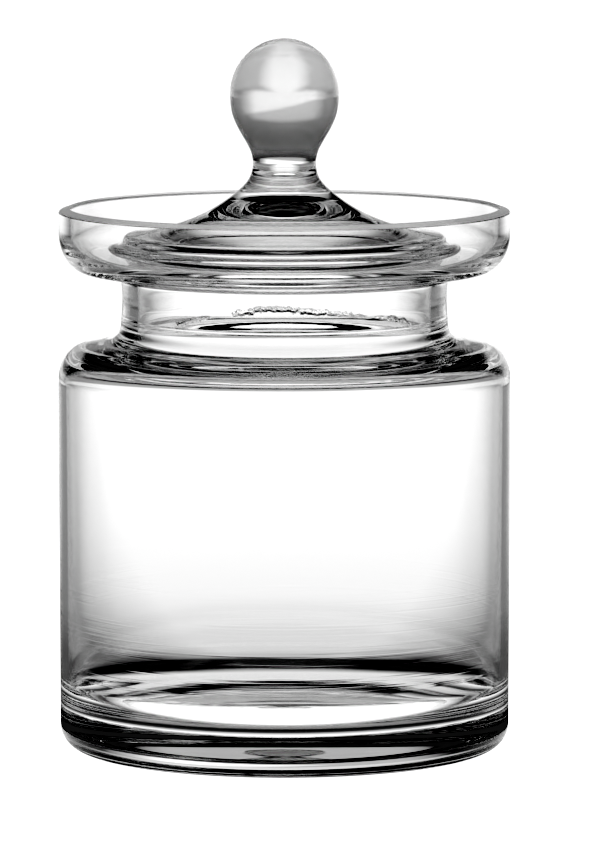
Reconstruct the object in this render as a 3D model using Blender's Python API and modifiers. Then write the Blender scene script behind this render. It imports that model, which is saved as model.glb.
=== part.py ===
"""A lidded storage jar of clear colourless glass.

The jar is one blown piece: a heavy base, a straight body, a rounded shoulder, a short
waisted neck and a wide dish-shaped gallery. The lid lies loose in the gallery: a thick
cone-shaped cap, hollow underneath, with a stepped edge and a short collar that drops into
the neck, and a solid ball knob on a stem that is stuck onto the cap while hot.

Units are metres and +Z is up. The origin is the centre of the foot, on the plane that the
jar stands on. Every piece is turned about the Z axis.
"""

import math

import bpy

COLLECTION_NAME = "glass_jar_with_lid"
SEGMENTS = 48
ARC_STEPS = 6
SHORT_CURVE_STEPS = 4
LONG_CURVE_STEPS = 8
SHARP_ANGLE = math.radians(35.0)
MERGE_DISTANCE = 0.00001
FUSED_GAP = 0.0003

# Jar: foot and base
BODY_RADIUS = 0.0649
BODY_LOW_RADIUS = 0.0645
FOOT_RADIUS = 0.0574
FOOT_CORNER_HEIGHT = 0.0068
FOOT_RING_WIDTH = 0.0094
FOOT_RECESS_DEPTH = 0.0014
PONTIL_RADIUS = 0.0085
PONTIL_DEPTH = 0.0006
BASE_THICKNESS = 0.0110
FLOOR_DISH_DEPTH = 0.0006
FLOOR_CORNER_RADIUS = 0.0100

# Jar: wall, shoulder and neck
BODY_WALL = 0.0022
SHOULDER_START_HEIGHT = 0.1060
SHOULDER_CORNER_RADIUS = 0.0580
SHOULDER_CORNER_HEIGHT = 0.0102
SHOULDER_RISE = 0.0010
SHOULDER_WALL = 0.0028
NECK_RADIUS = 0.0469
NECK_WAIST_RADIUS = 0.0465
NECK_BORE_RADIUS = 0.0423
NECK_START_HEIGHT = 0.1226
NECK_FILLET_RADIUS = 0.0055
NECK_INNER_FILLET_RADIUS = 0.0040
NECK_INNER_FILLET_HEIGHT = 0.0045
NECK_WAIST_HEIGHT = 0.1290

# Jar: gallery
GALLERY_START_HEIGHT = 0.1358
GALLERY_RADIUS = 0.0647
GALLERY_CORNER_RADIUS = 0.0570
GALLERY_CORNER_BOTTOM = 0.1375
GALLERY_CORNER_TOP = 0.1490
RIM_HEIGHT = 0.1558
RIM_WIDTH = 0.0034
RIM_DROP = 0.0009
RIM_BEVEL = 0.0004
GALLERY_FLOOR_THICKNESS = 0.0035
GALLERY_MOUTH_RADIUS = 0.0022

# Lid cap: the handles steer the long curves, and are lengths or (radius, height) points
CAP_RADIUS = 0.0509
CAP_STEP_RADIUS = 0.0463
CAP_STEP_TOP = 0.1483
CAP_STEP_EDGE_RADIUS = 0.0016
CAP_FLANGE_MIDDLE = 0.1426
CAP_FLANGE_EDGE = 0.0024
CAP_FLANGE_HALF_HEIGHT = 0.0022
CONE_UPPER_HANDLE = 0.0074
CONE_LOWER_HANDLE = (0.0273, 0.1497)
COLLAR_RADIUS = 0.0413
COLLAR_WALL = 0.0035
COLLAR_BEVEL = 0.0008
COLLAR_BOTTOM_HEIGHT = 0.1385
HOLLOW_HEIGHT = 0.1555
HOLLOW_SIDE_HANDLE = (0.0340, 0.1450)
HOLLOW_TOP_HANDLE = 0.0180

# Lid knob
KNOB_RADIUS = 0.0157
KNOB_UPPER_HEIGHT = 0.0163
KNOB_CENTRE_HEIGHT = 0.1879
KNOB_LOWER_HANDLE = 0.0097
STEM_WAIST_RADIUS = 0.0091
STEM_WAIST_HEIGHT = 0.1690
STEM_UPPER_HANDLE = 0.0054
STEM_LOWER_HANDLE = 0.0024
STEM_FOOT_RADIUS = 0.0117
STEM_FOOT_HEIGHT = 0.1621
STEM_FOOT_HANDLE = 0.0031
STEM_FOOT_SLOPE = math.radians(44.5)

GLASS_COLOUR = (0.93, 0.95, 0.95, 1.0)
GLASS_ROUGHNESS = 0.02
GLASS_IOR = 1.5


def arc(centre, radii, start, end, steps=ARC_STEPS):
    """Points on an ellipse in the (radius, height) plane, with angles in degrees."""
    points = []
    for step in range(steps + 1):
        angle = math.radians(start + (end - start) * step / steps)
        points.append((centre[0] + radii[0] * math.cos(angle), centre[1] + radii[1] * math.sin(angle)))
    return points


def curve(start, start_handle, end_handle, end, steps=ARC_STEPS):
    """Points on a cubic Bezier curve in the (radius, height) plane."""
    points = []
    for step in range(steps + 1):
        t = step / steps
        weights = ((1 - t) ** 3, 3 * t * (1 - t) ** 2, 3 * t**2 * (1 - t), t**3)
        corners = (start, start_handle, end_handle, end)
        points.append(tuple(sum(w * c[axis] for w, c in zip(weights, corners)) for axis in (0, 1)))
    return points


def glass_material(name, colour):
    """Clear glass with no metal in it."""
    material = bpy.data.materials.new(name)
    material.use_nodes = True
    shader = material.node_tree.nodes["Principled BSDF"]
    shader.inputs["Base Color"].default_value = colour
    shader.inputs["Metallic"].default_value = 0.0
    shader.inputs["Roughness"].default_value = GLASS_ROUGHNESS
    shader.inputs["IOR"].default_value = GLASS_IOR
    shader.inputs["Transmission Weight"].default_value = 1.0
    return material


def turned(name, profile, material, collection):
    """A solid of revolution from a profile that runs down its outer side."""
    vertices = [(radius, 0.0, height) for radius, height in profile]
    edges = [(index, index + 1) for index in range(len(vertices) - 1)]
    outline = bpy.data.meshes.new(name + "_profile")
    outline.from_pydata(vertices, edges, [])
    piece = bpy.data.objects.new(name, outline)
    collection.objects.link(piece)
    screw = piece.modifiers.new("turn", "SCREW")
    screw.axis = "Z"
    screw.angle = math.tau
    screw.steps = SEGMENTS
    screw.render_steps = SEGMENTS
    screw.use_merge_vertices = True
    screw.merge_threshold = MERGE_DISTANCE
    evaluated = piece.evaluated_get(bpy.context.evaluated_depsgraph_get())
    solid = bpy.data.meshes.new_from_object(evaluated)
    piece.modifiers.clear()
    piece.data = solid
    bpy.data.meshes.remove(outline)
    solid.name = name
    solid.shade_smooth()
    solid.set_sharp_from_angle(angle=SHARP_ANGLE)
    solid.materials.append(material)
    return piece


def jar_inside():
    """From the middle of the floor, up the inner wall and neck, to the gallery's inner wall."""
    low_radius = BODY_LOW_RADIUS - BODY_WALL
    high_radius = BODY_RADIUS - BODY_WALL
    corner_radius = FLOOR_CORNER_RADIUS
    floor = BASE_THICKNESS
    points = [(0.0, floor - FLOOR_DISH_DEPTH)]
    points += arc((low_radius - corner_radius, floor + corner_radius), (corner_radius,) * 2, -90, 0)
    # The inner shoulder follows the outer one, a wall's thickness below it.
    corner = (SHOULDER_CORNER_RADIUS - BODY_WALL, SHOULDER_START_HEIGHT)
    corner_size = (high_radius - corner[0], SHOULDER_CORNER_HEIGHT - SHOULDER_WALL)
    points += arc(corner, corner_size, 0, 90)
    # A fillet turns it up into the neck's bore.
    shoulder_top = corner[1] + corner_size[1]
    fillet = (NECK_INNER_FILLET_RADIUS, NECK_INNER_FILLET_HEIGHT)
    fillet_centre = (NECK_BORE_RADIUS + fillet[0], shoulder_top + SHOULDER_RISE + fillet[1])
    points += arc(fillet_centre, fillet, 270, 180)
    # The bore opens over a rounded mouth onto the gallery's floor.
    mouth = GALLERY_MOUTH_RADIUS
    floor_height = GALLERY_START_HEIGHT + GALLERY_FLOOR_THICKNESS
    points += arc((NECK_BORE_RADIUS + mouth, floor_height - mouth), (mouth, mouth), 180, 90, SHORT_CURVE_STEPS)
    wall_radius = GALLERY_RADIUS - RIM_WIDTH
    floor_end = (GALLERY_CORNER_RADIUS - RIM_WIDTH / 2, GALLERY_CORNER_BOTTOM + GALLERY_FLOOR_THICKNESS)
    inner_corner = (wall_radius - floor_end[0], GALLERY_CORNER_TOP - floor_end[1])
    points += arc((floor_end[0], GALLERY_CORNER_TOP), inner_corner, -90, 0)
    points.append((wall_radius, RIM_HEIGHT - RIM_BEVEL))
    points.append((wall_radius + RIM_BEVEL, RIM_HEIGHT))
    return points


def jar_outside():
    """From the rim, down the gallery, neck, shoulder and body, to the middle of the underside."""
    # The flat rim leans outwards, so its outer edge is lower than its inner one.
    rim_edge = RIM_HEIGHT - RIM_DROP
    points = [(GALLERY_RADIUS - RIM_BEVEL, rim_edge), (GALLERY_RADIUS, rim_edge - RIM_BEVEL)]
    gallery_corner = (GALLERY_RADIUS - GALLERY_CORNER_RADIUS, GALLERY_CORNER_TOP - GALLERY_CORNER_BOTTOM)
    points += arc((GALLERY_CORNER_RADIUS, GALLERY_CORNER_TOP), gallery_corner, 0, -90)
    points.append((NECK_RADIUS, GALLERY_START_HEIGHT))
    points.append((NECK_WAIST_RADIUS, NECK_WAIST_HEIGHT))
    # A fillet spreads the neck onto the shoulder.
    shoulder_top = SHOULDER_START_HEIGHT + SHOULDER_CORNER_HEIGHT
    fillet_height = NECK_START_HEIGHT - shoulder_top - SHOULDER_RISE
    fillet_centre = (NECK_RADIUS + NECK_FILLET_RADIUS, NECK_START_HEIGHT)
    points += arc(fillet_centre, (NECK_FILLET_RADIUS, fillet_height), 180, 270)
    shoulder_corner = (BODY_RADIUS - SHOULDER_CORNER_RADIUS, SHOULDER_CORNER_HEIGHT)
    points += arc((SHOULDER_CORNER_RADIUS, SHOULDER_START_HEIGHT), shoulder_corner, 90, 0)
    foot_corner = (BODY_LOW_RADIUS - FOOT_RADIUS, FOOT_CORNER_HEIGHT)
    points += arc((FOOT_RADIUS, FOOT_CORNER_HEIGHT), foot_corner, 0, -90)
    # The flat foot ring surrounds a shallow recess with a ground mark in its middle.
    ring_radius = FOOT_RADIUS - FOOT_RING_WIDTH
    points += curve(
        (ring_radius, 0.0),
        (0.8 * ring_radius, 0.6 * FOOT_RECESS_DEPTH),
        (0.5 * ring_radius, FOOT_RECESS_DEPTH),
        (PONTIL_RADIUS, FOOT_RECESS_DEPTH),
    )
    points.append((0.0, FOOT_RECESS_DEPTH + PONTIL_DEPTH))
    return points


def foot_direction():
    """The way the outline runs where stem and cap meet, as (outward, down)."""
    return math.cos(STEM_FOOT_SLOPE), math.sin(STEM_FOOT_SLOPE)


def cap_profile():
    """From the seat of the stem, down the cone and the stepped edge, and up into the hollow."""
    outward, down = foot_direction()
    seat = (STEM_FOOT_RADIUS, STEM_FOOT_HEIGHT - FUSED_GAP)
    edge_start = CAP_STEP_RADIUS - CAP_STEP_EDGE_RADIUS
    points = [(0.0, seat[1])]
    points += curve(
        seat,
        (seat[0] + CONE_UPPER_HANDLE * outward, seat[1] - CONE_UPPER_HANDLE * down),
        CONE_LOWER_HANDLE,
        (edge_start, CAP_STEP_TOP),
        LONG_CURVE_STEPS,
    )
    edge_centre = (edge_start, CAP_STEP_TOP - CAP_STEP_EDGE_RADIUS)
    points += arc(edge_centre, (CAP_STEP_EDGE_RADIUS,) * 2, 60, -20, SHORT_CURVE_STEPS)
    # The flange stands out below the step and rests in the gallery.
    flange_centre = (CAP_RADIUS - CAP_FLANGE_EDGE, CAP_FLANGE_MIDDLE)
    points += arc(flange_centre, (CAP_FLANGE_EDGE, CAP_FLANGE_HALF_HEIGHT), 110, -90, LONG_CURVE_STEPS)
    # The collar hangs in the neck and keeps the lid from sliding about.
    underside = CAP_FLANGE_MIDDLE - CAP_FLANGE_HALF_HEIGHT
    points.append((COLLAR_RADIUS + COLLAR_BEVEL, underside))
    points.append((COLLAR_RADIUS, underside - COLLAR_BEVEL))
    points.append((COLLAR_RADIUS - COLLAR_BEVEL, COLLAR_BOTTOM_HEIGHT))
    points += curve(
        (COLLAR_RADIUS - COLLAR_WALL, COLLAR_BOTTOM_HEIGHT),
        HOLLOW_SIDE_HANDLE,
        (HOLLOW_TOP_HANDLE, HOLLOW_HEIGHT),
        (0.0, HOLLOW_HEIGHT),
        LONG_CURVE_STEPS,
    )
    return points


def knob_profile():
    """From the top of the ball, down through the stem, to its foot on the cap."""
    outward, down = foot_direction()
    foot = (STEM_FOOT_RADIUS, STEM_FOOT_HEIGHT)
    points = [(0.0, KNOB_CENTRE_HEIGHT + KNOB_UPPER_HEIGHT)]
    points += arc((0.0, KNOB_CENTRE_HEIGHT), (KNOB_RADIUS, KNOB_UPPER_HEIGHT), 78, 0, LONG_CURVE_STEPS)
    points += curve(
        (KNOB_RADIUS, KNOB_CENTRE_HEIGHT),
        (KNOB_RADIUS, KNOB_CENTRE_HEIGHT - KNOB_LOWER_HANDLE),
        (STEM_WAIST_RADIUS, STEM_WAIST_HEIGHT + STEM_UPPER_HANDLE),
        (STEM_WAIST_RADIUS, STEM_WAIST_HEIGHT),
        LONG_CURVE_STEPS,
    )[1:]
    points += curve(
        (STEM_WAIST_RADIUS, STEM_WAIST_HEIGHT),
        (STEM_WAIST_RADIUS, STEM_WAIST_HEIGHT - STEM_LOWER_HANDLE),
        (foot[0] - STEM_FOOT_HANDLE * outward, foot[1] + STEM_FOOT_HANDLE * down),
        foot,
        SHORT_CURVE_STEPS,
    )[1:]
    points.append((0.0, foot[1]))
    return points


def main():
    for old in list(bpy.data.objects):
        bpy.data.objects.remove(old, do_unlink=True)
    collection = bpy.data.collections.new(COLLECTION_NAME)
    bpy.context.scene.collection.children.link(collection)
    jar_glass = glass_material("jar_glass", GLASS_COLOUR)
    lid_glass = glass_material("lid_glass", GLASS_COLOUR)
    knob_glass = glass_material("knob_glass", GLASS_COLOUR)
    turned("jar", jar_inside() + jar_outside(), jar_glass, collection)
    turned("lid_cap", cap_profile(), lid_glass, collection)
    turned("lid_knob", knob_profile(), knob_glass, collection)


main()
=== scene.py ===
"""Looks of the lidded glass jar: fine glass meshes and materials, camera, studio and floor.

Both visible pieces are turned about +Z from smooth profiles in metres, (radius, height).
"""

import math

import bpy
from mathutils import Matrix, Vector


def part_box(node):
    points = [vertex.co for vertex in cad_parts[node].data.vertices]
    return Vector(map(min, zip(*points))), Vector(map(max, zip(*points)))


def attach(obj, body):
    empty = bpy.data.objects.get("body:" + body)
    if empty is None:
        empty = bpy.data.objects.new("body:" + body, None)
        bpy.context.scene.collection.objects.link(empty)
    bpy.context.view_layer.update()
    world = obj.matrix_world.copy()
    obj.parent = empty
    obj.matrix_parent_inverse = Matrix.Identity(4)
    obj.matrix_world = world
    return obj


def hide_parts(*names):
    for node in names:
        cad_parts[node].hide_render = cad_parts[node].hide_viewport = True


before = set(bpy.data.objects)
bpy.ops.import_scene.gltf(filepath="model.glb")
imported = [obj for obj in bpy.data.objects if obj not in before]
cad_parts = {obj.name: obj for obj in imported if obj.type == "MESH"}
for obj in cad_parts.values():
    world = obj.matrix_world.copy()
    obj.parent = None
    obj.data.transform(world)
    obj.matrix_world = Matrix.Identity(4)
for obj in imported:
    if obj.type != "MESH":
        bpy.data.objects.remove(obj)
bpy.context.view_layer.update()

# ---------------------------------------------------------------- sizes from the frame

jar_low, jar_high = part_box("jar")
cap_low, cap_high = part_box("lid_cap")
knob_low, knob_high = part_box("lid_knob")

BODY_RADIUS = jar_high.x
RIM_HEIGHT = jar_high.z
CAP_RADIUS = cap_high.x
COLLAR_BOTTOM_HEIGHT = cap_low.z
STEM_FOOT_HEIGHT = knob_low.z
KNOB_RADIUS = knob_high.x
KNOB_UPPER_HEIGHT = 0.0163
KNOB_CENTRE_HEIGHT = knob_high.z - KNOB_UPPER_HEIGHT

# ---------------------------------------------------------------- sizes of the turned shapes

BODY_LOW_RADIUS = 0.0645
FOOT_RADIUS = 0.0574
FOOT_CORNER_HEIGHT = 0.0068
FOOT_RING_WIDTH = 0.0094
FOOT_RECESS_DEPTH = 0.0014
PONTIL_RADIUS = 0.0085
PONTIL_DEPTH = 0.0006
BASE_THICKNESS = 0.0110
FLOOR_DISH_DEPTH = 0.0006
FLOOR_CORNER_RADIUS = 0.0100

BODY_WALL = 0.0022
SHOULDER_START_HEIGHT = 0.1060
SHOULDER_CORNER_RADIUS = 0.0580
SHOULDER_CORNER_HEIGHT = 0.0102
SHOULDER_RISE = 0.0010
SHOULDER_WALL = 0.0028
NECK_RADIUS = 0.0469
NECK_WAIST_RADIUS = 0.0465
NECK_BORE_RADIUS = 0.0423
NECK_START_HEIGHT = 0.1226
NECK_FILLET_RADIUS = 0.0055
NECK_INNER_FILLET_RADIUS = 0.0040
NECK_INNER_FILLET_HEIGHT = 0.0045
NECK_WAIST_HEIGHT = 0.1290

GALLERY_START_HEIGHT = 0.1358
GALLERY_RADIUS = 0.0647
GALLERY_CORNER_RADIUS = 0.0570
GALLERY_CORNER_BOTTOM = 0.1375
GALLERY_CORNER_TOP = 0.1490
RIM_WIDTH = 0.0034
RIM_DROP = 0.0009
RIM_BEVEL = 0.0004
GALLERY_FLOOR_THICKNESS = 0.0035
GALLERY_MOUTH_RADIUS = 0.0022

CAP_STEP_RADIUS = 0.0463
CAP_STEP_TOP = 0.1483
CAP_STEP_EDGE_RADIUS = 0.0016
CAP_FLANGE_MIDDLE = 0.1426
CAP_FLANGE_EDGE = 0.0024
CAP_FLANGE_HALF_HEIGHT = 0.0022
COLLAR_RADIUS = 0.0413
COLLAR_WALL = 0.0035
COLLAR_BEVEL = 0.0008
HOLLOW_HEIGHT = 0.1555
HOLLOW_SIDE_HANDLE = (0.0340, 0.1450)
HOLLOW_TOP_HANDLE = 0.0180
CONE_UPPER_HANDLE = 0.0074
CONE_LOWER_HANDLE = (0.0273, 0.1497)

KNOB_LOWER_HANDLE = 0.0097
STEM_WAIST_RADIUS = 0.0091
STEM_WAIST_HEIGHT = 0.1690
STEM_UPPER_HANDLE = 0.0054
STEM_LOWER_HANDLE = 0.0024
STEM_FOOT_RADIUS = 0.0117
STEM_FOOT_HANDLE = 0.0031
STEM_FOOT_SLOPE = 44.5

TURN_STEPS = 256
POINT_SPACING = 0.0004
GLASS_IOR = 1.5


def arc(centre, radii, start, end, steps=24):
    """Points on an ellipse in the (radius, height) plane, with angles in degrees."""
    points = []
    for step in range(steps + 1):
        angle = math.radians(start + (end - start) * step / steps)
        points.append((centre[0] + radii[0] * math.cos(angle), centre[1] + radii[1] * math.sin(angle)))
    return points


def curve(start, start_handle, end_handle, end, steps=24):
    """Points on a cubic Bezier curve in the (radius, height) plane."""
    points = []
    for step in range(steps + 1):
        t = step / steps
        weights = ((1 - t) ** 3, 3 * t * (1 - t) ** 2, 3 * t**2 * (1 - t), t**3)
        corners = (start, start_handle, end_handle, end)
        points.append(tuple(sum(w * c[axis] for w, c in zip(weights, corners)) for axis in (0, 1)))
    return points


def resampled(points, spacing=POINT_SPACING):
    """The same line with its points evenly spaced."""
    lengths = [0.0]
    for start, end in zip(points, points[1:]):
        lengths.append(lengths[-1] + math.dist(start, end))
    count = max(2, round(lengths[-1] / spacing))
    evened = []
    piece = 0
    for index in range(count + 1):
        along = lengths[-1] * index / count
        while piece < len(points) - 2 and lengths[piece + 1] < along:
            piece += 1
        span = max(lengths[piece + 1] - lengths[piece], 1e-12)
        t = (along - lengths[piece]) / span
        start, end = points[piece], points[piece + 1]
        evened.append((start[0] + t * (end[0] - start[0]), start[1] + t * (end[1] - start[1])))
    return evened


def softened(points, rounds):
    """The line with its creases melted round, and its two ends kept in place."""
    for _ in range(rounds):
        middle = [
            ((a[0] + 2 * b[0] + c[0]) / 4, (a[1] + 2 * b[1] + c[1]) / 4)
            for a, b, c in zip(points, points[1:], points[2:])
        ]
        points = [points[0]] + middle + [points[-1]]
    return points


def jar_inside():
    """From the middle of the floor, up the inner wall and neck, to the rim."""
    low_radius = BODY_LOW_RADIUS - BODY_WALL
    high_radius = BODY_RADIUS - BODY_WALL
    corner_radius = FLOOR_CORNER_RADIUS
    points = [(0.0, BASE_THICKNESS - FLOOR_DISH_DEPTH)]
    points += arc((low_radius - corner_radius, BASE_THICKNESS + corner_radius), (corner_radius,) * 2, -90, 0)
    corner = (SHOULDER_CORNER_RADIUS - BODY_WALL, SHOULDER_START_HEIGHT)
    corner_size = (high_radius - corner[0], SHOULDER_CORNER_HEIGHT - SHOULDER_WALL)
    points += arc(corner, corner_size, 0, 90)
    shoulder_top = corner[1] + corner_size[1]
    fillet = (NECK_INNER_FILLET_RADIUS, NECK_INNER_FILLET_HEIGHT)
    fillet_centre = (NECK_BORE_RADIUS + fillet[0], shoulder_top + SHOULDER_RISE + fillet[1])
    points += arc(fillet_centre, fillet, 270, 180)
    # the wall keeps its thickness, so the bore narrows with the outside of the neck
    points.append((NECK_BORE_RADIUS - (NECK_RADIUS - NECK_WAIST_RADIUS), NECK_WAIST_HEIGHT))
    mouth = GALLERY_MOUTH_RADIUS
    floor_height = GALLERY_START_HEIGHT + GALLERY_FLOOR_THICKNESS
    points += arc((NECK_BORE_RADIUS + mouth, floor_height - mouth), (mouth, mouth), 180, 90)
    wall_radius = GALLERY_RADIUS - RIM_WIDTH
    floor_end = (GALLERY_CORNER_RADIUS - RIM_WIDTH / 2, GALLERY_CORNER_BOTTOM + GALLERY_FLOOR_THICKNESS)
    inner_corner = (wall_radius - floor_end[0], GALLERY_CORNER_TOP - floor_end[1])
    points += arc((floor_end[0], GALLERY_CORNER_TOP), inner_corner, -90, 0)
    points.append((wall_radius, RIM_HEIGHT - RIM_BEVEL))
    return points


def jar_outside():
    """From the rim, down the gallery, neck, shoulder and body, to the foot."""
    points = [(GALLERY_RADIUS, RIM_HEIGHT - RIM_DROP - RIM_BEVEL)]
    gallery_corner = (GALLERY_RADIUS - GALLERY_CORNER_RADIUS, GALLERY_CORNER_TOP - GALLERY_CORNER_BOTTOM)
    points += arc((GALLERY_CORNER_RADIUS, GALLERY_CORNER_TOP), gallery_corner, 0, -90)
    points.append((NECK_RADIUS, GALLERY_START_HEIGHT))
    points.append((NECK_WAIST_RADIUS, NECK_WAIST_HEIGHT))
    shoulder_top = SHOULDER_START_HEIGHT + SHOULDER_CORNER_HEIGHT
    fillet_height = NECK_START_HEIGHT - shoulder_top - SHOULDER_RISE
    fillet_centre = (NECK_RADIUS + NECK_FILLET_RADIUS, NECK_START_HEIGHT)
    points += arc(fillet_centre, (NECK_FILLET_RADIUS, fillet_height), 180, 270)
    shoulder_corner = (BODY_RADIUS - SHOULDER_CORNER_RADIUS, SHOULDER_CORNER_HEIGHT)
    points += arc((SHOULDER_CORNER_RADIUS, SHOULDER_START_HEIGHT), shoulder_corner, 90, 0)
    foot_corner = (BODY_LOW_RADIUS - FOOT_RADIUS, FOOT_CORNER_HEIGHT)
    points += arc((FOOT_RADIUS, FOOT_CORNER_HEIGHT), foot_corner, 0, -90)
    return points


def jar_underside():
    """From the foot ring's inner edge to the middle of the ground mark."""
    ring_radius = FOOT_RADIUS - FOOT_RING_WIDTH
    points = curve(
        (ring_radius, 0.0),
        (0.8 * ring_radius, 0.6 * FOOT_RECESS_DEPTH),
        (0.5 * ring_radius, FOOT_RECESS_DEPTH),
        (PONTIL_RADIUS, FOOT_RECESS_DEPTH),
    )
    return points + [(0.0, FOOT_RECESS_DEPTH + PONTIL_DEPTH)]


def jar_profile():
    """The whole jar, with its creases melted and its rim and foot ring left flat."""
    inside = softened(resampled(jar_inside()), 3)
    outside = softened(resampled(jar_outside()), 3)
    underside = softened(resampled(jar_underside()), 2)
    rim_start = (inside[-1][0] + RIM_BEVEL, RIM_HEIGHT)
    rim_end = (outside[0][0] - RIM_BEVEL, RIM_HEIGHT - RIM_DROP)
    rim = resampled([rim_start, rim_end])
    return inside + rim + outside + underside


def lid_profile():
    """Knob, stem, cone, stepped edge, flange and collar in one line, top to bottom."""
    slope = math.radians(STEM_FOOT_SLOPE)
    outward, down = math.cos(slope), math.sin(slope)
    foot = (STEM_FOOT_RADIUS, STEM_FOOT_HEIGHT)
    points = arc((0.0, KNOB_CENTRE_HEIGHT), (KNOB_RADIUS, KNOB_UPPER_HEIGHT), 90, 0, 48)
    points += curve(
        (KNOB_RADIUS, KNOB_CENTRE_HEIGHT),
        (KNOB_RADIUS, KNOB_CENTRE_HEIGHT - KNOB_LOWER_HANDLE),
        (STEM_WAIST_RADIUS, STEM_WAIST_HEIGHT + STEM_UPPER_HANDLE),
        (STEM_WAIST_RADIUS, STEM_WAIST_HEIGHT),
    )[1:]
    points += curve(
        (STEM_WAIST_RADIUS, STEM_WAIST_HEIGHT),
        (STEM_WAIST_RADIUS, STEM_WAIST_HEIGHT - STEM_LOWER_HANDLE),
        (foot[0] - STEM_FOOT_HANDLE * outward, foot[1] + STEM_FOOT_HANDLE * down),
        foot,
    )[1:]
    edge_start = CAP_STEP_RADIUS - CAP_STEP_EDGE_RADIUS
    points += curve(
        foot,
        (foot[0] + CONE_UPPER_HANDLE * outward, foot[1] - CONE_UPPER_HANDLE * down),
        CONE_LOWER_HANDLE,
        (edge_start, CAP_STEP_TOP),
    )[1:]
    edge_centre = (edge_start, CAP_STEP_TOP - CAP_STEP_EDGE_RADIUS)
    points += arc(edge_centre, (CAP_STEP_EDGE_RADIUS,) * 2, 80, -20)
    flange_centre = (CAP_RADIUS - CAP_FLANGE_EDGE, CAP_FLANGE_MIDDLE)
    points += arc(flange_centre, (CAP_FLANGE_EDGE, CAP_FLANGE_HALF_HEIGHT), 110, -90)
    cap_underside = CAP_FLANGE_MIDDLE - CAP_FLANGE_HALF_HEIGHT
    points.append((COLLAR_RADIUS + COLLAR_BEVEL, cap_underside))
    points.append((COLLAR_RADIUS, cap_underside - COLLAR_BEVEL))
    points.append((COLLAR_RADIUS - COLLAR_BEVEL, COLLAR_BOTTOM_HEIGHT))
    points += curve(
        (COLLAR_RADIUS - COLLAR_WALL, COLLAR_BOTTOM_HEIGHT),
        HOLLOW_SIDE_HANDLE,
        (HOLLOW_TOP_HANDLE, HOLLOW_HEIGHT),
        (0.0, HOLLOW_HEIGHT),
    )
    return softened(resampled(points), 2)


def turned(name, profile):
    """A closed mesh of revolution from a profile that starts and ends on the axis."""
    ring_points = profile[1:-1]
    vertices = [(0.0, 0.0, profile[0][1])]
    for radius, height in ring_points:
        for step in range(TURN_STEPS):
            angle = math.tau * step / TURN_STEPS
            vertices.append((radius * math.cos(angle), radius * math.sin(angle), height))
    vertices.append((0.0, 0.0, profile[-1][1]))
    faces = []
    last_ring = 1 + (len(ring_points) - 1) * TURN_STEPS
    for step in range(TURN_STEPS):
        after = (step + 1) % TURN_STEPS
        faces.append((0, 1 + step, 1 + after))
        faces.append((last_ring + step, len(vertices) - 1, last_ring + after))
    for ring in range(len(ring_points) - 1):
        here = 1 + ring * TURN_STEPS
        below = here + TURN_STEPS
        for step in range(TURN_STEPS):
            after = (step + 1) % TURN_STEPS
            faces.append((here + step, below + step, below + after, here + after))
    mesh = bpy.data.meshes.new(name)
    mesh.from_pydata(vertices, [], faces)
    mesh.shade_smooth()
    mesh.set_sharp_from_angle(angle=math.radians(35.0))
    piece = bpy.data.objects.new(name, mesh)
    bpy.context.scene.collection.objects.link(piece)
    return piece


class NodeMaker:
    """Adds nodes to one node tree and returns their output sockets."""

    def __init__(self, tree):
        self.tree = tree

    def add(self, kind, **settings):
        """A new node with the given properties."""
        node = self.tree.nodes.new(kind)
        for name, value in settings.items():
            setattr(node, name, value)
        return node

    def feed(self, socket, value):
        """Links a socket to another, or sets its number."""
        if isinstance(value, bpy.types.NodeSocket):
            self.tree.links.new(value, socket)
        else:
            socket.default_value = value

    def math(self, operation, *values):
        """A Math node's result."""
        node = self.add("ShaderNodeMath", operation=operation)
        for socket, value in zip(node.inputs, values):
            self.feed(socket, value)
        return node.outputs[0]

    def ramp(self, value, start, end):
        """0 at start, 1 at end, with a smooth step between them."""
        node = self.add("ShaderNodeMapRange", interpolation_type="SMOOTHSTEP")
        self.feed(node.inputs["Value"], value)
        node.inputs["From Min"].default_value = start
        node.inputs["From Max"].default_value = end
        return node.outputs["Result"]

    def product(self, *values):
        """Several values multiplied together."""
        result = values[0]
        for value in values[1:]:
            result = self.math("MULTIPLY", result, value)
        return result

    def total(self, *values):
        """The sum of several values."""
        result = values[0]
        for value in values[1:]:
            result = self.math("ADD", result, value)
        return result

    def stops(self, value, pairs, reach=1.0, peak=2.0):
        """A line through (value, result) pairs, from 0 to reach, with results up to peak."""
        node = self.add("ShaderNodeValToRGB")
        self.feed(node.inputs["Fac"], self.math("DIVIDE", value, reach))
        elements = node.color_ramp.elements
        while len(elements) < len(pairs):
            elements.new(0.5)
        for element, (place, level) in zip(elements, pairs):
            element.position = place / reach
            element.color = (level / peak,) * 3 + (1.0,)
        return self.math("MULTIPLY", node.outputs["Color"], peak)

    def noise(self, vector, scale, detail=1.0):
        """Noise from 0 to 1 with features one over the scale apart."""
        node = self.add("ShaderNodeTexNoise")
        self.feed(node.inputs["Vector"], vector)
        node.inputs["Scale"].default_value = scale
        node.inputs["Detail"].default_value = detail
        return node.outputs["Fac"]

    def band(self, value, low, high, soft):
        """1 between low and high, fading to 0 over twice the soft width at each end."""
        rising = self.ramp(value, low - soft, low + soft)
        return self.product(rising, self.ramp(value, high + soft, high - soft))


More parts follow.
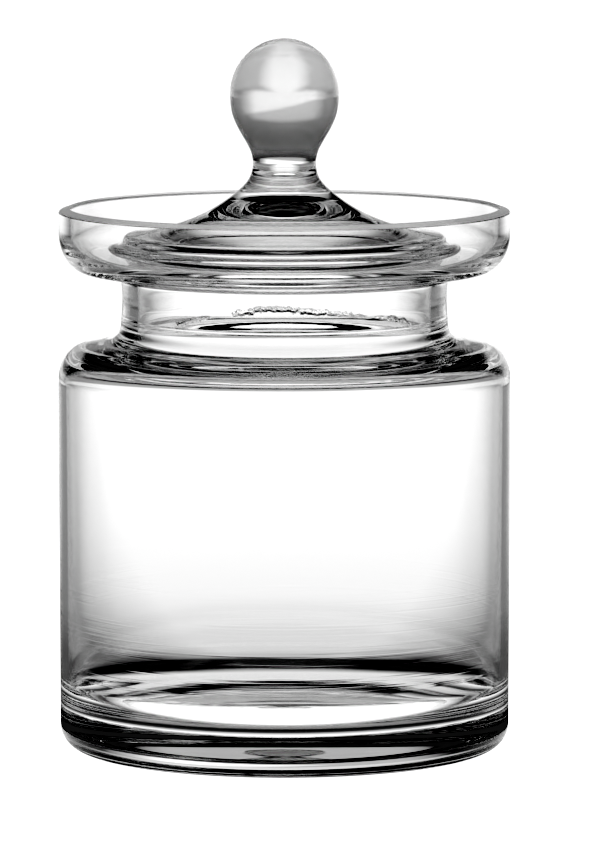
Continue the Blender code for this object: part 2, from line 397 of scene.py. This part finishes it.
class Surface:
    """The point that a glass material shades, in metres, and the marks made from it."""

    def __init__(self, make):
        self.make = make
        self.point = make.add("ShaderNodeTexCoord").outputs["Object"]
        split = make.add("ShaderNodeSeparateXYZ")
        make.feed(split.inputs[0], self.point)
        self.x = split.outputs["X"]
        self.y = split.outputs["Y"]
        self.height = split.outputs["Z"]
        squares = [make.math("MULTIPLY", side, side) for side in (self.x, self.y)]
        self.radius = make.math("SQRT", make.math("ADD", *squares))
        self.along = make.math("ADD", self.radius, self.height)

    def within(self, value, low, high, soft=0.0005):
        """1 where a length is between two others."""
        return self.make.band(value, low, high, soft)

    def drawn_lines(self, spacing, length, seed=0.0):
        """Noise in fine lines that run round the axis, as a turning tool leaves them."""
        make = self.make
        stretched = make.add("ShaderNodeCombineXYZ")
        make.feed(stretched.inputs["X"], make.math("MULTIPLY", self.x, 1.0 / length))
        make.feed(stretched.inputs["Y"], make.math("MULTIPLY", self.y, 1.0 / length))
        turned_place = make.math("MULTIPLY", self.along, 1.0 / spacing)
        make.feed(stretched.inputs["Z"], make.math("ADD", turned_place, seed))
        return make.noise(stretched.outputs[0], 1.0, 2.0)

    def specks(self, cell, size, share):
        """1 at a few tiny seeds, one at most in each cell of the given width."""
        make = self.make
        cells = make.add("ShaderNodeTexVoronoi")
        make.feed(cells.inputs["Vector"], self.point)
        cells.inputs["Scale"].default_value = 1.0 / cell
        split = make.add("ShaderNodeSeparateColor")
        make.feed(split.inputs[0], cells.outputs["Color"])
        chosen = make.math("LESS_THAN", split.outputs[0], share)
        return make.product(chosen, make.ramp(cells.outputs["Distance"], size / cell, 0.5 * size / cell))


def glass(name, marks):
    """Clear glass; marks(surface) gives its relief in mm, roughness, specks and milky haze."""
    material = bpy.data.materials.new(name)
    material.use_nodes = True
    make = NodeMaker(material.node_tree)
    relief, roughness, specks, haze = marks(Surface(make))
    shader = material.node_tree.nodes["Principled BSDF"]
    shader.inputs["IOR"].default_value = GLASS_IOR
    make.feed(shader.inputs["Transmission Weight"], make.math("SUBTRACT", 1.0, haze))
    make.feed(shader.inputs["Roughness"], roughness)
    clear = make.math("SUBTRACT", 1.0, specks)
    tone = make.add("ShaderNodeCombineColor")
    for channel in ("Red", "Green", "Blue"):
        make.feed(tone.inputs[channel], clear)
    make.feed(shader.inputs["Base Color"], tone.outputs[0])
    bump = make.add("ShaderNodeBump")
    bump.inputs["Strength"].default_value = 1.0
    bump.inputs["Distance"].default_value = 0.001
    make.feed(bump.inputs["Height"], relief)
    make.feed(shader.inputs["Normal"], bump.outputs[0])
    return material


# reliefs are in millimetres, and all other lengths in metres
WAVE_SIZE = 0.035
JAR_WAVE = 0.02
LID_WAVE = 0.015
LINE_SPACING = 0.0011
LINE_LENGTH = 0.09
# a span is where a mark starts and ends, and how soft its ends are
LOWER_WALL_LINE = 0.004
LOWER_WALL_SPAN = (0.014, 0.052, 0.008)
LOWER_WALL_LEVELS = (0.56, 0.68)
SHOULDER_LINE = 0.002
SHOULDER_FADE = (0.104, 0.108)
CONE_LINE = 0.003
CONE_LINE_SEED = 40.0
FLOOR_GRAIN = 0.010
FLOOR_GRAIN_SIZE = 0.004
NECK_GRAIN = 0.004
NECK_GRAIN_SPAN = (0.112, 0.124, 0.002)
RIM_ROUGHNESS = 0.35
RIM_HAZE = 0.22
FOOT_ROUGHNESS = 0.22
FOOT_FADE = (0.0004, 0.0001)
FOOT_LEVELS = (0.2, 0.7)
PONTIL_ROUGHNESS = 0.35
PONTIL_FADE = (0.003, 0.0025)
KNOB_HAZE = 0.30
# tiny dark seeds: the width of their cells, their own size and the share of cells with one
JAR_SPECKS = (0.016, 0.0004, 0.05)
LID_SPECKS = (0.012, 0.0003, 0.04)
# a ragged crease across the back of the neck's bore; turns are in degrees from straight behind,
# and it falls from its top by so many metres for each degree
CREASE_TOP = 0.1232
CREASE_TOP_TURN = -8.0
CREASE_LEFT_FALL = 0.000115
CREASE_RIGHT_FALL = 0.000046
CREASE_LEFT_END = -52.0
CREASE_RIGHT_END = 66.0
CREASE_END_SOFT = 4.0
CREASE_HALF_WIDTH = 0.0010
CREASE_DEPTH = 1.2
CREASE_RAGGED = 0.0024
CREASE_RAGGED_SCALE = 600.0
CREASE_GAP_SCALE = 90.0
CREASE_GAP_LEVELS = (0.36, 0.52)
NECK_RING_HEIGHT = 0.1238
NECK_RING_HALF_WIDTH = 0.0005
NECK_RING_DEPTH = 0.02


def neck_crease(surface):
    """1 along the ragged crease in the bore, and 0 elsewhere."""
    make = surface.make
    turn = make.math("DEGREES", make.math("ARCTAN2", surface.x, surface.y))
    aside = make.math("SUBTRACT", turn, CREASE_TOP_TURN)
    falls = make.product(aside, -CREASE_LEFT_FALL), make.product(aside, CREASE_RIGHT_FALL)
    crease_height = make.math("SUBTRACT", CREASE_TOP, make.math("MAXIMUM", *falls))
    ragged = make.math("SUBTRACT", make.noise(surface.point, CREASE_RAGGED_SCALE, 3.0), 0.5)
    off = make.math("SUBTRACT", surface.height, crease_height)
    off = make.math("ABSOLUTE", make.math("ADD", off, make.product(ragged, CREASE_RAGGED)))
    return make.product(
        make.ramp(off, CREASE_HALF_WIDTH, 0.0),
        surface.within(turn, CREASE_LEFT_END, CREASE_RIGHT_END, CREASE_END_SOFT),
        make.ramp(surface.radius, NECK_BORE_RADIUS + 0.003, NECK_BORE_RADIUS + 0.002),
        make.ramp(make.noise(surface.point, CREASE_GAP_SCALE), *CREASE_GAP_LEVELS),
    )


def jar_marks(surface):
    """Blown waves, lines in lower wall and shoulder, an uneven floor, a crease, ground edges."""
    make = surface.make
    height, radius = surface.height, surface.radius
    waves = make.product(make.noise(surface.point, 1.0 / WAVE_SIZE), JAR_WAVE)
    lines = surface.drawn_lines(LINE_SPACING, LINE_LENGTH)
    lower = surface.within(height, *LOWER_WALL_SPAN)
    lower = make.product(make.ramp(lines, *LOWER_WALL_LEVELS), lower)
    shoulder = make.product(lines, make.ramp(height, *SHOULDER_FADE))
    grain = make.noise(surface.point, 1.0 / FLOOR_GRAIN_SIZE, 2.0)
    floor = make.product(grain, surface.within(height, -0.01, BASE_THICKNESS + 0.001))
    floor = make.product(floor, surface.within(radius, -0.01, FOOT_RADIUS, 0.001))
    neck = make.product(grain, surface.within(height, *NECK_GRAIN_SPAN))
    off_ring = make.math("ABSOLUTE", make.math("SUBTRACT", height, NECK_RING_HEIGHT))
    neck_ring = make.ramp(off_ring, NECK_RING_HALF_WIDTH, 0.0)
    relief = make.total(
        waves,
        make.product(lower, LOWER_WALL_LINE),
        make.product(shoulder, SHOULDER_LINE),
        make.product(floor, FLOOR_GRAIN),
        make.product(neck, NECK_GRAIN),
        make.product(neck_crease(surface), CREASE_DEPTH),
        make.product(neck_ring, NECK_RING_DEPTH),
    )
    rim = make.ramp(height, RIM_HEIGHT - RIM_DROP - RIM_BEVEL, RIM_HEIGHT - RIM_DROP)
    foot = make.product(make.ramp(height, *FOOT_FADE), make.ramp(grain, *FOOT_LEVELS))
    pontil = make.ramp(radius, PONTIL_RADIUS, 0.8 * PONTIL_RADIUS)
    pontil = make.product(make.ramp(height, *PONTIL_FADE), pontil)
    roughness = make.total(
        make.product(rim, RIM_ROUGHNESS),
        make.product(foot, FOOT_ROUGHNESS),
        make.product(pontil, PONTIL_ROUGHNESS),
    )
    return relief, roughness, surface.specks(*JAR_SPECKS), make.product(rim, RIM_HAZE)


def lid_marks(surface):
    """Slight waves, fine tool marks on the cone, and a faint milkiness in the knob."""
    make = surface.make
    waves = make.product(make.noise(surface.point, 1.0 / WAVE_SIZE), LID_WAVE)
    lines = surface.drawn_lines(LINE_SPACING, LINE_LENGTH, CONE_LINE_SEED)
    cone = make.ramp(surface.height, STEM_WAIST_HEIGHT + 0.004, STEM_FOOT_HEIGHT)
    relief = make.total(waves, make.product(lines, cone, CONE_LINE))
    in_knob = make.ramp(surface.height, STEM_WAIST_HEIGHT - 0.001, STEM_WAIST_HEIGHT + 0.005)
    return relief, 0.0, surface.specks(*LID_SPECKS), make.product(in_knob, KNOB_HAZE)


jar = turned("jar_glass", jar_profile())
jar.data.materials.append(glass("jar_glass", jar_marks))
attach(jar, "jar")
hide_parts("jar")

lid = turned("lid_glass", lid_profile())
lid.data.materials.append(glass("lid_glass", lid_marks))
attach(lid, "lid")
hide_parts("lid_cap", "lid_knob")

# ---------------------------------------------------------------- camera

CAMERA_DISTANCE = 2.061
CAMERA_HEIGHT = 0.3313
CAMERA_SIDE = 0.00445
CAMERA_PITCH = 6.646
CAMERA_LENS = 301.35
SENSOR = 36.0

camera_data = bpy.data.cameras.new("camera")
camera_data.sensor_fit = "AUTO"
camera_data.sensor_width = SENSOR
camera_data.lens = CAMERA_LENS
camera_data.clip_end = 100.0
camera = bpy.data.objects.new("camera", camera_data)
bpy.context.scene.collection.objects.link(camera)
camera.location = (CAMERA_SIDE, -CAMERA_DISTANCE, CAMERA_HEIGHT)
camera.rotation_euler = (math.radians(90.0 - CAMERA_PITCH), 0.0, 0.0)
bpy.context.scene.camera = camera

# ---------------------------------------------------------------- studio

# the print is hard: light at the black level or below is black, and CONTRAST gives what some
# levels above it are shown as
BLACK_LEVEL = 0.075
CONTRAST = (
    (0.09, 0.014),
    (0.24, 0.20),
    (0.50, 0.50),
)
BACKGROUND_LIGHT = 1.2
LIGHT_BOUNCES = 32
FLOOR_SIZE = 24.0

# the bright sweep behind the jar, in degrees; its top edge leans to one side
SWEEP_LIGHT = 1.2
SWEEP_TOP = 4.0
SWEEP_SOFT_TOP = 2.5
SWEEP_TILT = 0.2
# how it falls off to its sides, by degrees from its middle
SWEEP_SIDES = (
    (0.0, 1.0),
    (22.0, 1.0),
    (30.0, 0.50),
    (42.0, 0.06),
    (60.0, 0.0),
)
# a dimmer wall over the sweep: the turn and the height where it starts and ends to fade
WALL_LIGHT = 0.50
WALL_SIDE = (20.0, 40.0)
WALL_TOP = (10.0, 16.0)
# the softbox on the right: azimuth and elevation, half size and soft edge
SOFTBOX_LIGHT = 1.3
SOFTBOX_PLACE = (110.0, 52.0)
SOFTBOX_HALF_SIZE = (20.0, 14.0)
SOFTBOX_SOFT = 4.0
ROOM_AMBIENT = 0.04

# painted light and shade in the table's glow by distance from the jar's axis, in metres: a painted pool of
# light under the jar, painted shade in two rings round its foot with a painted bright ring between them, and
# a brightness rising to plain farther out
PAINTED_TABLE_LIGHT = (
    (0.0, 2.0),
    (0.044, 2.0),
    (0.054, 0.15),
    (0.060, 0.08),
    (0.066, 0.90),
    (0.075, 0.90),
    (0.081, 0.08),
    (0.100, 0.10),
    (0.108, 0.55),
    (0.130, 0.75),
    (0.220, 0.75),
    (0.320, 1.00),
    (0.500, 1.10),
    (0.900, 1.20),
)
# painted shade darkens the table on both sides of a lit strip behind the jar, and each table below gives the
# share of light that the painted shade leaves; this one is by degrees from straight behind the jar
TABLE_SIDES = (
    (0.0, 1.0),
    (9.0, 1.0),
    (14.0, 0.72),
    (18.0, 0.48),
    (21.0, 0.28),
    (26.0, 0.06),
    (32.0, 0.0),
)
# the lit strip keeps its width past the first distance, and is open by the second
SIDE_SHADE_START = 0.90
SIDE_SHADE_END = 2.00
# nearer to the jar than this the painted side shade darkens nothing
SIDE_SHADE_NEAR = (0.075, 0.082)
# the share of light that the painted shade leaves on all sides, by distance
TABLE_AMBIENT = (
    (0.0, 0.28),
    (1.00, 0.28),
    (1.60, 0.12),
    (2.0, 0.10),
)
# the share of light that the painted shade leaves at the sides and the front: none by the first turn, in
# full by the second
FRONT_LIGHT = 0.65
FRONT_SIDE = (42.0, 70.0)
# the jar's shadow under the back of its base
SHADOW_MIDDLE = 0.044
SHADOW_HALF_WIDTH = 0.036
SHADOW_HALF_DEPTH = 0.020

# four soft lamps, at both sides in front and behind, that light the milky parts of the glass
LAMP_POWER = 22.0
LAMP_SIZE = 0.9
LAMP_SIDE = 0.9
LAMP_DEPTH = 1.2
LAMP_HEIGHT = 1.3


def turn_between(make, azimuth, centre):
    """Degrees between two azimuths, the shorter way round."""
    across = make.math("ABSOLUTE", make.math("SUBTRACT", azimuth, centre))
    return make.math("MINIMUM", across, make.math("SUBTRACT", 360.0, across))


def panel(make, direction, centre, size, soft, strength):
    """A lit rectangle; direction, centre and half size are (azimuth, elevation) in degrees."""
    across = turn_between(make, direction[0], centre[0])
    upright = make.math("ABSOLUTE", make.math("SUBTRACT", direction[1], centre[1]))
    inside_width = make.ramp(across, size[0] + soft, size[0] - soft)
    inside_height = make.ramp(upright, size[1] + soft, size[1] - soft)
    return make.product(inside_width, inside_height, strength)


def brightest(make, lights):
    """The highest of several values."""
    result = lights[0]
    for light in lights[1:]:
        result = make.math("MAXIMUM", result, light)
    return result


def room_light(make, azimuth, elevation):
    """Brightness by direction in degrees: azimuth 0 is behind the jar, 90 is to its right."""
    leaning = make.math("SUBTRACT", elevation, make.product(azimuth, SWEEP_TILT))
    below_top = make.ramp(leaning, SWEEP_TOP + SWEEP_SOFT_TOP, SWEEP_TOP - SWEEP_SOFT_TOP)
    from_middle = make.math("ABSOLUTE", azimuth)
    sweep = make.product(below_top, make.stops(from_middle, SWEEP_SIDES, 180.0), SWEEP_LIGHT)
    wall = make.product(
        make.ramp(from_middle, WALL_SIDE[1], WALL_SIDE[0]),
        make.ramp(elevation, WALL_TOP[1], WALL_TOP[0]),
        WALL_LIGHT,
    )
    direction = (azimuth, elevation)
    softbox = panel(make, direction, SOFTBOX_PLACE, SOFTBOX_HALF_SIZE, SOFTBOX_SOFT, SOFTBOX_LIGHT)
    return brightest(make, [sweep, wall, softbox, ROOM_AMBIENT])


def table_light(make, place, azimuth, distance):
    """Painted light and shade in the table's glow: a painted pool of light under the jar, painted shade
    round its foot and on its sides, a painted shadow of the jar, and plain brightness far from it.
    """
    level = make.stops(distance, PAINTED_TABLE_LIGHT)
    from_middle = make.math("ABSOLUTE", azimuth)
    front = make.product(make.ramp(from_middle, *FRONT_SIDE), FRONT_LIGHT)
    # a strip that keeps its width narrows in degrees
    strip = make.math("DIVIDE", distance, make.math("MINIMUM", distance, SIDE_SHADE_START))
    between = make.stops(make.product(from_middle, strip), TABLE_SIDES, 180.0)
    sides = make.stops(from_middle, SWEEP_SIDES, 180.0)
    beyond = make.product(make.ramp(distance, SIDE_SHADE_START, SIDE_SHADE_END), sides)
    ambient = make.stops(distance, TABLE_AMBIENT, 2.0)
    # painted side shade: what stays dark outside the lit strip, the front and the ambient share
    unlit = make.math("SUBTRACT", 1.0, brightest(make, [between, beyond, front, ambient]))
    away = make.ramp(distance, *SIDE_SHADE_NEAR)
    level = make.product(level, make.math("SUBTRACT", 1.0, make.product(away, unlit)))
    # a painted shadow of the jar under the back of its base
    across = make.math("DIVIDE", place["X"], SHADOW_HALF_WIDTH)
    backwards = make.math("DIVIDE", make.math("SUBTRACT", place["Y"], SHADOW_MIDDLE), SHADOW_HALF_DEPTH)
    squares = [make.math("MULTIPLY", part, part) for part in (across, backwards)]
    shadow = make.ramp(make.math("ADD", *squares), 1.2, 0.8)
    return make.product(level, make.math("SUBTRACT", 1.0, shadow))


def for_glass(make, brightness):
    """The given brightness where light reaches the glass, and plain white to the camera."""
    seen = make.add("ShaderNodeLightPath").outputs["Is Camera Ray"]
    level = make.add("ShaderNodeMix", data_type="FLOAT")
    make.feed(level.inputs["Factor"], seen)
    make.feed(level.inputs["A"], brightness)
    make.feed(level.inputs["B"], BACKGROUND_LIGHT)
    return level.outputs["Result"]


def azimuth_of(make, split):
    """The direction of a point or ray round the jar, in degrees from straight behind it."""
    return make.math("DEGREES", make.math("ARCTAN2", split.outputs["X"], split.outputs["Y"]))


def studio_world():
    """White to the camera; to the glass, a bright sweep, a wall and a softbox in a dark room."""
    world = bpy.data.worlds.new("studio")
    world.use_nodes = True
    make = NodeMaker(world.node_tree)
    split = make.add("ShaderNodeSeparateXYZ")
    make.feed(split.inputs[0], make.add("ShaderNodeTexCoord").outputs["Generated"])
    elevation = make.math("DEGREES", make.math("ARCSINE", split.outputs["Z"]))
    brightness = room_light(make, azimuth_of(make, split), elevation)
    background = world.node_tree.nodes["Background"]
    background.inputs["Color"].default_value = (1.0, 1.0, 1.0, 1.0)
    make.feed(background.inputs["Strength"], for_glass(make, brightness))
    return world


def floor_plane():
    """The floor that the jar stands on: plain white to the camera, and to the glass a glow with painted
    light and shade in it.
    """
    bpy.ops.mesh.primitive_plane_add(size=FLOOR_SIZE, location=(0.0, 0.0, 0.0))
    floor = bpy.context.object
    floor.name = "floor"
    material = bpy.data.materials.new("floor")
    material.use_nodes = True
    tree = material.node_tree
    tree.nodes.remove(tree.nodes["Principled BSDF"])
    make = NodeMaker(tree)
    split = make.add("ShaderNodeSeparateXYZ")
    make.feed(split.inputs[0], make.add("ShaderNodeTexCoord").outputs["Object"])
    reach = make.math("POWER", split.outputs["X"], 2.0), make.math("POWER", split.outputs["Y"], 2.0)
    distance = make.math("SQRT", make.math("ADD", *reach))
    glow = make.add("ShaderNodeEmission")
    brightness = table_light(make, split.outputs, azimuth_of(make, split), distance)
    make.feed(glow.inputs["Strength"], for_glass(make, brightness))
    make.feed(tree.nodes["Material Output"].inputs["Surface"], glow.outputs[0])
    floor.data.materials.append(material)
    return floor


def soft_lamp(name, location, size, power):
    """A soft lamp aimed at the jar; the glass doesn't mirror it, so it only lights its haze."""
    lamp = bpy.data.lights.new(name, "AREA")
    lamp.size = size
    lamp.energy = power
    holder = bpy.data.objects.new(name, lamp)
    bpy.context.scene.collection.objects.link(holder)
    holder.location = location
    aim = Vector((0.0, 0.0, RIM_HEIGHT)) - Vector(location)
    holder.rotation_euler = aim.to_track_quat("-Z", "Y").to_euler()
    holder.visible_glossy = False
    holder.visible_transmission = False
    return holder


for side, side_name in ((-LAMP_SIDE, "left"), (LAMP_SIDE, "right")):
    soft_lamp("lamp_" + side_name, (side, -LAMP_DEPTH, LAMP_HEIGHT), LAMP_SIZE, LAMP_POWER)
    soft_lamp("lamp_back_" + side_name, (side, LAMP_DEPTH, LAMP_HEIGHT), LAMP_SIZE, LAMP_POWER)
floor_plane()
scene = bpy.context.scene
scene.world = studio_world()
scene.view_settings.view_transform = "Standard"
scene.view_settings.use_curve_mapping = True
print_curves = scene.view_settings.curve_mapping
print_curves.black_level = (BLACK_LEVEL,) * 3
combined = print_curves.curves[3]
for level, shown in CONTRAST:
    combined.points.new(level, shown)
print_curves.update()
scene.cycles.max_bounces = LIGHT_BOUNCES
scene.cycles.transmission_bounces = LIGHT_BOUNCES
scene.cycles.glossy_bounces = LIGHT_BOUNCES
